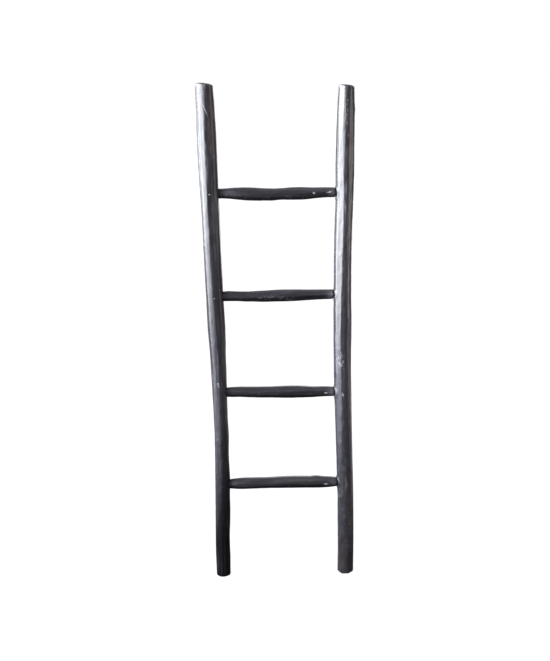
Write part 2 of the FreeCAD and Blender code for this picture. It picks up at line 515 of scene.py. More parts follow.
@dataclass
class Stick:
    """A piece of hewn wood that stands for one CAD node. Rails and rungs are both made so."""

    node: str
    seed: int
    marks: tuple[Mark, ...]
    run: Run = Run.UPRIGHT
    slot: str = "rail_wood"
    segments: int = 96
    rings: int = 600
    cap_rings: int = 13
    end_margin: float = 0.014
    blur: float = 0.0
    rim_loops: tuple[float, ...] = (0.0006, 0.0014, 0.0024, 0.0036, 0.005, 0.0066, 0.0085, 0.0105)
    flat_rows: int = 16
    flat_length: Span = (0.14, 0.42)
    flat_depth: Span = (0.00015, 0.0008)
    flat_overlap: Span = (1.05, 1.35)
    flat_stray: Span = (-0.5, 0.5)
    flat_twist: Span = (-0.35, 0.35)
    low_rim: Span = (0.002, 0.005)
    high_rim: Span = (0.0008, 0.0024)
    rim_cuts: int = 10
    rim_stray: Span = (-0.35, 0.35)
    rim_slope: Span = (0.7, 1.0)
    # How strongly the lacquer reflects along the stick; raising it paints highlight and lowering it paints
    # shade.
    sheen: Profile = ((0.0, 1.0),)
    paled: Profile = ((0.0, 0.0),)
    faces: tuple[KnifeFlat, ...] = ()
    waviness: float = 0.00045
    chatter: float = 0.00022
    checks: int = 4
    check_inner: Span = (0.02, 0.2)
    check_outer: Span = (0.55, 0.97)
    check_width: Span = (0.0012, 0.0022)
    check_depth: Span = (0.001, 0.0025)
    probe: SolidProbe = field(init=False)
    rng: random.Random = field(init=False)
    cuts: list[KnifeFlat | RimCut] = field(init=False)
    cracks: dict[float, list[Check]] = field(init=False)
    noise_shift: Vector = field(init=False)

    ENDS = (0.0, 1.0)
    LAYERS = ("arris", "rub_and_highlight", "pith", "sheen", "paled", "warm")
    SAME_ARRIS = 0.00012
    LEAST_LEAN = 0.6
    RIM_SHARE = 0.999
    SHARP_ANGLE = math.radians(38.0)
    NOISE_REACH = 50.0
    WAVE = (11.0, 0.9)
    RIPPLES = ((60.0, 2.6), (35.0, 5.5))

    def __post_init__(self) -> None:
        """Measures the CAD solid and draws the knife's cuts."""
        self.probe = SolidProbe(self.node, self.run)
        self.rng = random.Random(self.seed)
        reach = self.NOISE_REACH
        self.noise_shift = Vector([self.rng.uniform(-reach, reach) for _ in range(3)])
        self.cuts = self.draw_flats() + self.draw_rims() + list(self.faces)
        self.cracks = {end: self.draw_checks() for end in self.ENDS}

    def draw_flats(self) -> list[KnifeFlat | RimCut]:
        """Covers the stick with rows of knife flats of uneven length and depth.

        Returns:
            The flats.
        """
        flats = []
        for row in range(self.flat_rows):
            angle = math.tau * row / self.flat_rows
            start = self.probe.low - self.rng.uniform(0.0, self.flat_length[0])
            while start < self.probe.high:
                length = self.rng.uniform(*self.flat_length)
                flats.append(
                    KnifeFlat(
                        angle=angle + self.rng.uniform(*self.flat_stray) * math.tau / self.flat_rows,
                        middle=start + length / 2.0,
                        length=length * self.rng.uniform(*self.flat_overlap),
                        depth=self.rng.uniform(*self.flat_depth),
                        twist=self.rng.uniform(*self.flat_twist),
                    )
                )
                start += length
        return flats

    def draw_rims(self) -> list[KnifeFlat | RimCut]:
        """Breaks the rims at both ends with slanting cuts of uneven width.

        Returns:
            The cuts.
        """
        cuts = []
        for end, widths in ((self.probe.low, self.low_rim), (self.probe.high, self.high_rim)):
            for place in range(self.rim_cuts):
                turn = (place + self.rng.uniform(*self.rim_stray)) / self.rim_cuts
                width = self.rng.uniform(*widths)
                slope = self.rng.uniform(*self.rim_slope)
                cuts.append(RimCut(math.tau * turn, end, width, slope))
        return cuts

    def draw_checks(self) -> list[Check]:
        """Draws the drying cracks of one end.

        Returns:
            The cracks.
        """
        cracks = []
        for _ in range(self.checks):
            cracks.append(
                Check(
                    angle=self.rng.uniform(-180.0, 180.0),
                    inner=self.rng.uniform(*self.check_inner),
                    outer=self.rng.uniform(*self.check_outer),
                    width=self.rng.uniform(*self.check_width),
                    depth=self.rng.uniform(*self.check_depth),
                )
            )
        return cracks

    def blank(self) -> bmesh.types.BMesh:
        """Makes a round blank of unit radius and unit length, with rings along it and across its ends.

        Returns:
            The blank, with its own Z as the share of the stick's length.
        """
        bm = bmesh.new()
        sizes = {"radius1": 1.0, "radius2": 1.0, "depth": 1.0}
        bmesh.ops.create_cone(bm, cap_ends=True, segments=self.segments, **sizes)
        bmesh.ops.translate(bm, verts=bm.verts, vec=UP / 2.0)
        length = self.probe.high - self.probe.low
        for loop in self.rim_loops:
            for height in (loop / length, 1.0 - loop / length):
                geometry = bm.verts[:] + bm.edges[:] + bm.faces[:]
                bmesh.ops.bisect_plane(bm, geom=geometry, plane_co=UP * height, plane_no=UP)
        rising = [edge for edge in bm.edges if edge.verts[0].co.xy == edge.verts[1].co.xy]
        long_edges = [edge for edge in rising if edge.calc_length() > 0.5]
        bmesh.ops.subdivide_edges(bm, edges=long_edges, cuts=self.rings, use_grid_fill=True)
        for cap in [face for face in bm.faces if len(face.verts) == self.segments]:
            for _ in range(self.cap_rings):
                bmesh.ops.inset_individual(bm, faces=[cap], thickness=1.0 / (self.cap_rings + 1))
            bmesh.ops.poke(bm, faces=[cap])
        return bm

    def ring_at(self, share: float) -> Ring:
        """Works out what the stick is like at one place.

        Args:
            share: the place, as a share of the stick's length.

        Returns:
            The section there, and the cuts and marks that touch it.
        """
        low, high = self.probe.low, self.probe.high
        along = low + share * (high - low)
        section = self.probe.smooth_section(along, self.blur, self.end_margin)
        centre = section.centre + self.run.axis() * (along - section.centre.dot(self.run.axis()))
        cuts = [cut for cut in (knife.cut_at(along) for knife in self.cuts) if cut[1] > 0.0]
        marks = [mark for mark in self.marks if abs(along - mark.along) < mark.reach()]
        levels = (level_at(profile, along) for profile in (self.sheen, self.paled))
        return Ring(along, Section(centre, section.radius), cuts, marks, *levels)

    def wave(self, ring: Ring, angle: float, pace: float, turns: float) -> float:
        """Gives a smooth random swing of the skin.

        Args:
            ring: the place along the stick.
            angle: the angle round it, in radians.
            pace: how fast the swing changes along the stick, for each metre.
            turns: how fast it changes round the stick.

        Returns:
            The swing, from about -1 to 1.
        """
        place = Vector((turns * math.cos(angle), turns * math.sin(angle), pace * ring.along))
        return noise.noise(place + self.noise_shift)

    def skin(self, ring: Ring, angle: float) -> tuple[float, float, Touch]:
        """Works out one point of the skin.

        Args:
            ring: the place along the stick.
            angle: the angle round it, in radians.

        Returns:
            The radius there, how near the point is to an arris, and what all the marks do to it.
        """
        lowest = ring.section.radius + self.waviness * self.wave(ring, angle, *self.WAVE)
        second = math.inf
        for faced, depth in ring.cuts:
            lean = math.cos(angle - faced)
            if lean < self.LEAST_LEAN:
                continue
            cut = (ring.section.radius - depth) / lean
            if cut < lowest:
                lowest, second = cut, lowest
            elif cut < second:
                second = cut
        arris = math.exp(-(second - lowest) / self.SAME_ARRIS)
        lift = self.chatter * sum(self.wave(ring, angle, *ripple) for ripple in self.RIPPLES)
        touches = [Touch(lift=lift, paled=ring.paled)]
        for mark in ring.marks:
            round_gap = turn_between(angle, math.radians(mark.angle)) * ring.section.radius
            touches.append(mark.effect(ring.along - mark.along, round_gap))
        lifts, *levels = zip(*touches)
        touch = Touch(sum(lifts), *map(max, levels))
        return lowest + touch.lift, arris, touch

    def carve(self, bm: bmesh.types.BMesh) -> None:
        """Moves the blank's points onto the hewn skin, and keeps what the finish needs to know of each.

        Args:
            bm: the blank.
        """
        layers = [bm.verts.layers.float.new(name) for name in self.LAYERS]
        rings: dict[float, Ring] = {}
        for vertex in bm.verts:
            share = round(vertex.co.z, 6)
            if share not in rings:
                rings[share] = self.ring_at(share)
            ring = rings[share]
            angle = math.atan2(vertex.co.x, -vertex.co.y)
            inset = min(1.0, vertex.co.xy.length)
            radius, arris, touch = self.skin(ring, angle)
            offset = self.run.outward(angle) * radius * inset
            edge = arris if inset > self.RIM_SHARE else 0.0
            kept = (edge, touch.rub_and_highlight * inset**2, radius * inset, ring.sheen, touch.paled, touch.warm)
            for layer, value in zip(layers, kept):
                vertex[layer] = value
            place = ring.section.centre + offset
            place += self.run.axis() * self.end_lift(ring, inset, offset)
            if inset < self.RIM_SHARE:
                sink = sum(crack.sink(inset, angle, radius) for crack in self.cracks[share])
                place += self.run.axis() * (sink if share < 0.5 else -sink)
            vertex.co = place

    def end_lift(self, ring: Ring, inset: float, offset: Vector) -> float:
        """Gives how far a point moves along the stick for the slope of its top cut.

        Args:
            ring: the place along the stick.
            inset: how far the point lies from the stick's heart, as a share of the radius.
            offset: the point's place across the stick.

        Returns:
            The move.
        """
        return 0.0

    def build(self) -> bpy.types.Object:
        """Makes the finished piece, riding on the ladder in place of its CAD node.

        Returns:
            The piece.
        """
        bm = self.blank()
        for face in bm.faces:
            face.material_index = int(face.calc_center_median().z in self.ENDS)
        self.carve(bm)
        bmesh.ops.recalc_face_normals(bm, faces=bm.faces)
        mesh = bpy.data.meshes.new(f"hewn_{self.node}")
        bm.to_mesh(mesh)
        bm.free()
        mesh.shade_smooth()
        mesh.set_sharp_from_angle(angle=self.SHARP_ANGLE)
        piece = bpy.data.objects.new(f"hewn_{self.node}", mesh)
        bpy.context.scene.collection.objects.link(piece)
        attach(piece, BODY)
        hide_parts(self.node)
        LOG.info("%s: %d faces", piece.name, len(mesh.polygons))
        return piece


@dataclass
class Rail(Stick):
    """A crooked pole, cut square at its foot and at a slope at its head."""

    pin_node: str = field(kw_only=True)
    head_rise: float = field(kw_only=True)
    head_dome: float = 0.0037
    slope_run: float = 0.06
    seat_length: float = 0.02
    pin_stand: float = 0.0001
    tilt: Vector = field(init=False)

    def __post_init__(self) -> None:
        """Measures the pole and the slope of its top cut, and cuts a flat round each of its pins."""
        super().__post_init__()
        self.tilt = self.probe.head_tilt(self.probe.section(self.probe.high - self.end_margin))
        for end in pin_ends(self.pin_node):
            section = self.probe.section(end.z)
            outward = end - section.centre
            depth = section.radius - outward.xy.length + self.pin_stand
            angle = math.atan2(outward.x, -outward.y)
            self.cuts.append(KnifeFlat(angle, end.z, self.seat_length, depth))

    def end_lift(self, ring: Ring, inset: float, offset: Vector) -> float:
        """Slopes the last stretch of the pole with its top cut, and domes the cut, as Stick says."""
        ease = smooth_step((ring.along - self.probe.high + self.slope_run) / self.slope_run)
        dome = self.head_dome * (1.0 - inset**3)
        return ease * (self.tilt.dot(offset) + dome + self.head_rise)


@dataclass
class Rung(Stick):
    """A whittled barrel with a round tenon at each end."""

    run: Run = Run.LEVEL
    slot: str = "rung_wood"
    segments: int = 72
    rings: int = 240
    cap_rings: int = 6
    end_margin: float = 0.039
    blur: float = 0.004
    rim_loops: tuple[float, ...] = (0.0012, 0.0024)
    flat_rows: int = 10
    flat_length: Span = (0.07, 0.2)
    flat_depth: Span = (0.0003, 0.0014)
    low_rim: Span = (0.002, 0.0022)
    high_rim: Span = (0.002, 0.0022)
    waviness: float = 0.0003
    checks: int = 0
    # Painted shade: the lacquer's reflection is weakened at the left joint, as if shaded by the rail, and
    # along the rung's left half, which the left lamp lights most.
    sheen: Profile = ((-0.168, 0.2), (-0.145, 0.68), (0.0, 0.83), (0.14, 1.0), (0.165, 0.9))
    shoulder_rail: str = "right_rail"
    shoulder_length: float = 0.0045
    shoulder_drop: float = 0.0036
    shoulder_end: float = field(init=False)

    def __post_init__(self) -> None:
        """Measures the rung, and finds where the wood of the rail on its right starts."""
        super().__post_init__()
        rail = SolidProbe(self.shoulder_rail, Run.UPRIGHT).section(self.probe.middle.z)
        self.shoulder_end = rail.centre.x - rail.radius

    def ring_at(self, share: float) -> Ring:
        """Rounds the shoulder in front of the right tenon, as Stick says."""
        ring = super().ring_at(share)
        past = min(1.0, max(0.0, 1.0 - (self.shoulder_end - ring.along) / self.shoulder_length))
        drop = self.shoulder_drop * (1.0 - math.sqrt(1.0 - past * past))
        ring.section = Section(ring.section.centre, ring.section.radius - drop)
        return ring


class Pattern(NamedTuple):
    """A noise pattern: how fine it is, how many finer layers it has and how much it swirls."""

    scale: float
    detail: float
    distortion: float = 0.0


class NodeBench:
    """A node tree, with short ways to add and join nodes."""

    COLOUR_A = 6
    COLOUR_B = 7
    COLOUR_RESULT = 2

    def __init__(self, tree: bpy.types.NodeTree) -> None:
        """Takes the tree that the nodes go into."""
        self.tree = tree

    def add(self, kind: str, inputs: dict[str | int, Feed], **settings: object) -> bpy.types.Node:
        """Adds one node.

        Args:
            kind: the node's type.
            inputs: for each input, by name or number, its value or the socket that feeds it.
            settings: the node's own properties.

        Returns:
            The node.
        """
        node = self.tree.nodes.new(kind)
        for name, value in settings.items():
            setattr(node, name, value)
        self.feed(node, inputs)
        return node

    def feed(self, node: bpy.types.Node, inputs: dict[str | int, Feed]) -> None:
        """Sets or joins a node's inputs.

        Args:
            node: the node.
            inputs: for each input, by name or number, its value or the socket that feeds it.
        """
        for name, value in inputs.items():
            if isinstance(value, Socket):
                self.tree.links.new(value, node.inputs[name])
            else:
                node.inputs[name].default_value = value

    def stretched(self, scale: Triple = EVEN) -> Socket:
        """Gives the piece's own coordinates, stretched along one way or left even.

        Args:
            scale: how much faster the pattern goes along each axis.

        Returns:
            The coordinates.
        """
        place = self.add("ShaderNodeTexCoord", {}).outputs["Object"]
        return self.add("ShaderNodeMapping", {"Vector": place, "Scale": scale}).outputs["Vector"]

    def noise(self, place: Socket, pattern: Pattern) -> Socket:
        """Adds a noise pattern.

        Args:
            place: the coordinates that it follows.
            pattern: what it is like.

        Returns:
            Its value, about 0.5 on average.
        """
        scale, detail, distortion = pattern
        inputs = {"Vector": place, "Scale": scale, "Detail": detail, "Distortion": distortion}
        return self.add("ShaderNodeTexNoise", inputs).outputs["Fac"]

    def span(self, value: Socket, source: Span, target: Span = FULL) -> Socket:
        """Maps a range of values onto another, and holds it there.

        Args:
            value: the value to map.
            source: the range that it comes from.
            target: the range that it goes to.

        Returns:
            The mapped value.
        """
        inputs = {"Value": value, 1: source[0], 2: source[1], 3: target[0], 4: target[1]}
        return self.add("ShaderNodeMapRange", inputs, clamp=True).outputs["Result"]

    def math(self, operation: str, first: Feed, second: Feed) -> Socket:
        """Joins two values by arithmetic.

        Args:
            operation: the operation's name.
            first: the first value or socket.
            second: the second value or socket.

        Returns:
            The result.
        """
        inputs = {0: first, 1: second}
        return self.add("ShaderNodeMath", inputs, operation=operation, use_clamp=True).outputs[0]

    def mix(self, share: Socket, first: Feed, second: Feed) -> Socket:
        """Mixes two colours.

        Args:
            share: how much of the second colour shows.
            first: the first colour or socket.
            second: the second colour or socket.

        Returns:
            The mixed colour.
        """
        inputs = {0: share, self.COLOUR_A: first, self.COLOUR_B: second}
        return self.add("ShaderNodeMix", inputs, data_type="RGBA").outputs[self.COLOUR_RESULT]

    def attribute(self, name: str) -> Socket:
        """Gives one of the piece's own attributes, by name."""
        return self.add("ShaderNodeAttribute", {}, attribute_name=name).outputs["Fac"]


class FinishBench(NodeBench):
    """The node tree of a new material, with its shader."""

    def __init__(self, name: str) -> None:
        """Starts the material with a shader and an output.

        Args:
            name: the material's name.
        """
        self.material = bpy.data.materials.new(name)
        self.material.use_nodes = True
        super().__init__(self.material.node_tree)
        self.tree.nodes.clear()
        self.shader = self.add("ShaderNodeBsdfPrincipled", {})
        self.add("ShaderNodeOutputMaterial", {"Surface": self.shader.outputs["BSDF"]})

    def bump(self, height: Socket, strength: float, depth: float) -> Socket:
        """Raises the surface by a pattern.

        Args:
            height: the pattern.
            strength: how much of it shows.
            depth: how deep it is.

        Returns:
            The raised surface's normal.
        """
        inputs = {"Height": height, "Strength": strength, "Distance": depth}
        return self.add("ShaderNodeBump", inputs).outputs["Normal"]


@dataclass(frozen=True)
class StainedWood:
    """Near-black stain under satin lacquer, with the grain along the stick and chafed arrises; its pale
    marks include painted highlights, and its sheen attribute paints highlight and shade into the
    reflection.
    """

    name: str
    run: Run
    stain: Colour = (0.002, 0.0019, 0.0026, 1.0)
    thin_stain: Colour = (0.0058, 0.005, 0.0053, 1.0)
    faded_stain: Colour = (0.0145, 0.015, 0.0195, 1.0)
    brown_stain_and_reflection: Colour = (0.042, 0.03, 0.0255, 1.0)
    faded_dullness: float = 0.22
    bare_wood_and_highlight: Colour = (0.4, 0.39, 0.4, 1.0)
    bare_dullness: float = 0.5
    chafing: float = 0.06
    gloss: Span = (0.27, 0.4)
    specular: float = 0.5
    coat: float = 0.25
    coat_roughness: float = 0.2
    grain: Pattern = Pattern(240.0, 5.0, 0.5)
    grain_stretch: float = 0.05
    grain_bump: float = 0.1
    grain_depth: float = 0.0005
    streaks: Pattern = Pattern(60.0, 3.0, 0.3)
    mottle: Pattern = Pattern(70.0, 4.0, 0.4)
    mottle_stretch: float = 0.4
    blotches: Pattern = Pattern(13.0, 4.0)
    speckles: Pattern = Pattern(330.0, 4.0)

    def make(self) -> bpy.types.Material:
        """Makes the material.

        Returns:
            The material.
        """
        bench = FinishBench(self.name)
        along = bench.stretched(self.run.stretch(self.grain_stretch))
        grain = bench.noise(along, self.grain)
        streak = bench.noise(along, self.streaks)
        blotch = bench.noise(bench.stretched(), self.blotches)
        paled = self.paling(bench, streak)
        rubbed_and_highlit = self.wear_and_highlights(bench, blotch)
        paled_tone = bench.mix(bench.attribute("warm"), self.faded_stain, self.brown_stain_and_reflection)
        wood = bench.mix(paled, self.staining(bench, grain, streak, blotch), paled_tone)
        rough = bench.math("ADD", grain, bench.math("MULTIPLY", rubbed_and_highlit, self.bare_dullness))
        gloss = bench.span(rough, (0.3, 1.0), self.gloss)
        # The sheen attribute scales the lacquer's reflection, which paints highlight and shade along each
        # stick.
        sheen = bench.attribute("sheen")
        bench.feed(
            bench.shader,
            {
                "Base Color": bench.mix(rubbed_and_highlit, wood, self.bare_wood_and_highlight),
                "Roughness": bench.math("ADD", gloss, bench.math("MULTIPLY", paled, self.faded_dullness)),
                "Normal": bench.bump(grain, self.grain_bump, self.grain_depth),
                "Specular IOR Level": bench.math("MULTIPLY", sheen, self.specular),
                "Coat Weight": bench.math("MULTIPLY", sheen, self.coat),
                "Coat Roughness": self.coat_roughness,
            },
        )
        return bench.material

    def staining(self, bench: FinishBench, grain: Socket, streak: Socket, blotch: Socket) -> Socket:
        """Lays the stain, thinner in blotches and along the grain.

        Args:
            bench: the material's bench.
            grain: the fine pattern of the grain.
            streak: the coarse pattern of the grain.
            blotch: the pattern of the blotches.

        Returns:
            The stain's colour.
        """
        patches = bench.span(blotch, (0.42, 0.7))
        thin = bench.math("MULTIPLY", patches, bench.span(streak, (0.35, 0.7), (0.25, 1.0)))
        fine = bench.span(grain, (0.35, 0.75), (0.0, 0.55))
        return bench.mix(bench.math("MAXIMUM", thin, fine), self.stain, self.thin_stain)

    def paling(self, bench: FinishBench, streak: Socket) -> Socket:
        """Makes the paled places uneven.

        Args:
            bench: the material's bench.
            streak: the coarse pattern of the grain.

        Returns:
            How much paler the stain is made.
        """
        mottle = bench.noise(bench.stretched(self.run.stretch(self.mottle_stretch)), self.mottle)
        streaky = bench.span(streak, (0.3, 0.7), (0.0, 0.6))
        uneven = bench.math("ADD", streaky, bench.span(mottle, (0.35, 0.65), (0.05, 0.9)))
        return bench.math("MULTIPLY", bench.attribute("paled"), uneven)

    def wear_and_highlights(self, bench: FinishBench, blotch: Socket) -> Socket:
        """Chafes the arrises here and there, and speckles all that is rubbed pale, painted highlights
        included.

        Args:
            bench: the material's bench.
            blotch: the pattern of the blotches.

        Returns:
            How pale it is made: bared wood, and painted highlight on a few marks.
        """
        chafed = bench.span(blotch, (0.5, 0.8), (0.0, self.chafing))
        edge = bench.math("MULTIPLY", bench.attribute("arris"), chafed)
        rubbed_and_highlit = bench.math("MAXIMUM", edge, bench.attribute("rub_and_highlight"))
        speckle = bench.noise(bench.stretched(), self.speckles)
        return bench.math("MULTIPLY", rubbed_and_highlit, bench.span(speckle, (0.35, 0.65), (0.1, 1.3)))


@dataclass(frozen=True)
class EndGrain:
    """The sawn end of a stained stick: its growth rings take the stain unevenly, and its rim is rubbed
    pale, which at the heads' left rims is a painted highlight.
    """

    name: str
    stain: Colour = (0.006, 0.0055, 0.0055, 1.0)
    ring_colour: Colour = (0.045, 0.034, 0.027, 1.0)
    bare_wood_and_highlight: Colour = (0.4, 0.39, 0.4, 1.0)
    ring_pace: float = 2400.0
    ring_swing: float = 9.0
    wander: Pattern = Pattern(70.0, 3.0)
    flecks: Pattern = Pattern(480.0, 3.0)
    fleck_bump: float = 0.3
    fleck_depth: float = 0.0005
    gloss: Span = (0.5, 0.75)

    def make(self) -> bpy.types.Material:
        """Makes the material.

        Returns:
            The material.
        """
        bench = FinishBench(self.name)
        place = bench.stretched()
        fleck = bench.noise(place, self.flecks)
        pith = {0: bench.attribute("pith"), 1: self.ring_pace}
        radius = bench.add("ShaderNodeMath", pith, operation="MULTIPLY").outputs[0]
        swung = {0: bench.noise(place, self.wander), 1: self.ring_swing, 2: radius}
        shifted = bench.add("ShaderNodeMath", swung, operation="MULTIPLY_ADD").outputs[0]
        wave = bench.add("ShaderNodeMath", {0: shifted}, operation="SINE").outputs[0]
        ripe = bench.span(wave, (-0.2, 1.0))
        late = bench.math("MULTIPLY", ripe, bench.span(fleck, (0.3, 0.7), (0.2, 1.0)))
        sawn = bench.mix(late, self.stain, self.ring_colour)
        bench.feed(
            bench.shader,
            {
                "Base Color": bench.mix(bench.attribute("rub_and_highlight"), sawn, self.bare_wood_and_highlight),
                "Roughness": bench.span(fleck, (0.3, 0.7), self.gloss),
                "Normal": bench.bump(fleck, self.fleck_bump, self.fleck_depth),
            },
        )
        return bench.material


@dataclass(frozen=True)
class PinSteel:
    """A plain steel pin, with the stain rubbed off most of it."""

    name: str
    clean: Span = (0.48, 0.6)
    steel: Colour = (0.52, 0.51, 0.49, 1.0)
    smudge: Colour = (0.03, 0.028, 0.027, 1.0)
    smudged_metal: float = 0.2
    smudges: Pattern = Pattern(420.0, 4.0)
    brushing: Pattern = Pattern(900.0, 2.0)
    brush_stretch: Triple = (1.0, 1.0, 12.0)
    gloss: Span = (0.28, 0.5)

    def make(self) -> bpy.types.Material:
        """Makes the material.

        Returns:
            The material.
        """
        bench = FinishBench(self.name)
        smudged = bench.span(bench.noise(bench.stretched(), self.smudges), self.clean)
        brushed = bench.noise(bench.stretched(self.brush_stretch), self.brushing)
        bench.feed(
            bench.shader,
            {
                "Base Color": bench.mix(smudged, self.steel, self.smudge),
                "Metallic": bench.span(smudged, FULL, (1.0, self.smudged_metal)),
                "Roughness": bench.span(brushed, (0.3, 0.7), self.gloss),
            },
        )
        return bench.material


@dataclass(frozen=True)
class Softbox:
    """One large soft studio lamp."""

    name: str
    place: Triple
    aim: Triple
    width: float
    height: float
    brightness: float
    colour: Triple = EVEN
    side_fade: Span | None = None
    foot_fade: float = 0.0
    foot_share: float = 1.0

    def hang(self) -> None:
        """Adds the lamp to the scene, aimed and as bright as its surface should look."""
        lamp = bpy.data.lights.new(self.name, "AREA")
        if self.side_fade:
            self.fade(lamp)
        lamp.shape = "RECTANGLE"
        lamp.size = self.width
        lamp.size_y = self.height
        lamp.energy = self.brightness * math.pi * self.width * self.height
        lamp.color = self.colour
        holder = bpy.data.objects.new(self.name, lamp)
        holder.location = self.place
        facing = Vector(self.aim) - Vector(self.place)
        holder.rotation_euler = facing.to_track_quat("-Z", "Y").to_euler()
        holder.visible_camera = False
        bpy.context.scene.collection.objects.link(holder)

    def fade(self, lamp: bpy.types.Light) -> None:
        """Lets the lamp's surface fade towards one side and towards its foot.

        Args:
            lamp: the lamp.
        """
        lamp.use_nodes = True
        bench = NodeBench(lamp.node_tree)
        place = bench.add("ShaderNodeNewGeometry", {}).outputs["Parametric"]
        apart = bench.add("ShaderNodeSeparateXYZ", {0: place})
        strength = bench.add("ShaderNodeMath", {}, operation="MULTIPLY")
        fades = ((*self.side_fade, 0.0), (0.0, self.foot_fade, self.foot_share))
        for index, (start, end, least) in enumerate(fades):
            inputs = {0: apart.outputs[index], 1: start, 2: end, 3: least}
            ramp = bench.add("ShaderNodeMapRange", inputs, interpolation_type="SMOOTHSTEP")
            bench.feed(strength, {index: ramp.outputs[0]})
        bench.feed(bench.tree.nodes["Emission"], {"Strength": strength.outputs[0]})


@dataclass
class Studio:
    """A pale floor, a white surround and soft lamps: a tall bright one at the left, dim ones elsewhere."""

    SKY_TINT = (0.72, 0.76, 1.0)

    floor_radius: float = 60.0
    floor_segments: int = 96
    floor_colour: Colour = (0.03, 0.03, 0.03, 1.0)
    floor_clouds: Pattern = Pattern(5.0, 3.0)
    floor_cloudiness: float = 0.02
    floor_roughness: float = 0.7
    near_glow: float = 0.9
    far_glow: float = 1.0
    glow_reach: Span = (1.0, 5.0)
    surround: Profile = (
        (0.12, 0.05),
        (0.2, 0.15),
        (0.25, 0.25),
        (0.29, 0.45),
        (0.34, 0.54),
        (0.42, 0.54),
        (0.49, 0.46),
        (0.8, 0.7),
        (1.0, 1.5),
    )
    surround_tint: Triple = (0.92, 0.9, 1.06)
    right_share: float = 0.45
    lamps: tuple[Softbox, ...] = (
        Softbox(
            "left_window",
            (-1.585, -1.87, 1.35),
            (0.255, -1.09, 1.35),
            5.0,
            2.7,
            25.0,
            (0.91, 0.93, 1.0),
            side_fade=(0.94, 0.0),
            foot_fade=0.45,
            foot_share=0.42,
        ),
        Softbox("far_board", (-1.75, -1.15, 0.02), (-1.75, -1.15, 1.0), 0.6, 3.0, 4.8, SKY_TINT),
        Softbox("middle_board", (-1.2, -0.95, 0.02), (-1.2, -0.95, 1.0), 0.5, 2.6, 2.8, SKY_TINT),
        Softbox("near_board", (-0.72, -0.75, 0.02), (-0.72, -0.75, 1.0), 0.45, 2.0, 1.5, SKY_TINT),
        Softbox(
            "back_window",
            (-2.1, 1.12, 1.4),
            (0.0, 0.0, 1.25),
            1.3,
            1.8,
            6.8,
            (0.93, 0.95, 1.0),
            side_fade=(-0.6, 0.9),
            foot_fade=0.35,
            foot_share=0.6,
        ),
        Softbox("right_wall", (2.06, -0.54, 1.2), (0.0, 0.0, 1.0), 0.65, 2.4, 2.6, (1.0, 0.9, 0.88)),
        Softbox("right_board", (1.5, 0.65, 0.02), (1.5, 0.65, 1.0), 1.6, 1.2, 1.0, (0.95, 0.95, 1.0)),
        Softbox("back_fill", (0.9, 2.6, 1.5), (0.0, 0.0, 0.8), 2.4, 2.4, 2.2),
    )

    def set_up(self) -> None:
        """Lays the floor, hangs the lamps and lights the surround."""
        self.lay_floor()
        for lamp in self.lamps:
            lamp.hang()
        self.light_surround()
        bpy.context.scene.view_settings.view_transform = "Standard"

    def lay_floor(self) -> None:
        """Lays the floor under the ladder's feet."""
        bm = bmesh.new()
        bmesh.ops.create_circle(bm, cap_ends=True, segments=self.floor_segments, radius=self.floor_radius)
        mesh = bpy.data.meshes.new("floor")
        bm.to_mesh(mesh)
        bm.free()
        mesh.materials.append(self.floor_finish())
        floor = bpy.data.objects.new("floor", mesh)
        floor.visible_glossy = False
        bpy.context.scene.collection.objects.link(floor)

    def floor_finish(self) -> bpy.types.Material:
        """Makes the floor's faintly clouded finish, which glows so that it looks white.

        Returns:
            The material.
        """
        bench = FinishBench("pale_floor")
        place = bench.stretched()
        clouds = bench.span(bench.noise(place, self.floor_clouds), (0.3, 0.7), (0.0, self.floor_cloudiness))
        gap = bench.add("ShaderNodeVectorMath", {0: place}, operation="LENGTH").outputs["Value"]
        bench.feed(
            bench.shader,
            {
                "Base Color": bench.mix(clouds, self.floor_colour, WHITE),
                "Roughness": self.floor_roughness,
                "Emission Color": WHITE,
                "Emission Strength": bench.span(gap, self.glow_reach, (self.near_glow, self.far_glow)),
            },
        )
        return bench.material

    def light_surround(self) -> None:
        """Makes the surround white to the eye. As a source of light it is dim, and darkest from below."""
        world = bpy.data.worlds.new("surround")
        bpy.context.scene.world = world
        world.use_nodes = True
        bench = NodeBench(world.node_tree)
        view = bench.add("ShaderNodeTexCoord", {}).outputs["Generated"]
        apart = bench.add("ShaderNodeSeparateXYZ", {0: view}).outputs
        ramp = bench.add("ShaderNodeValToRGB", {0: bench.span(apart["Z"], (-1.0, 1.0))})
        stops = ramp.color_ramp.elements
        for place, level in self.surround:
            stop = stops[-1] if place == 1.0 else stops.new(place)
            stop.color = (*(level * share for share in self.surround_tint), 1.0)
        stops[0].color = stops[1].color
        side = bench.span(apart["X"], FULL, (1.0, self.right_share))
        lit = {0: ramp.outputs["Color"], "Scale": side}
        shaded = bench.add("ShaderNodeVectorMath", lit, operation="SCALE").outputs[0]
        to_eye = bench.add("ShaderNodeLightPath", {}).outputs["Is Camera Ray"]
        bench.feed(bench.tree.nodes["Background"], {"Color": bench.mix(to_eye, shaded, WHITE)})


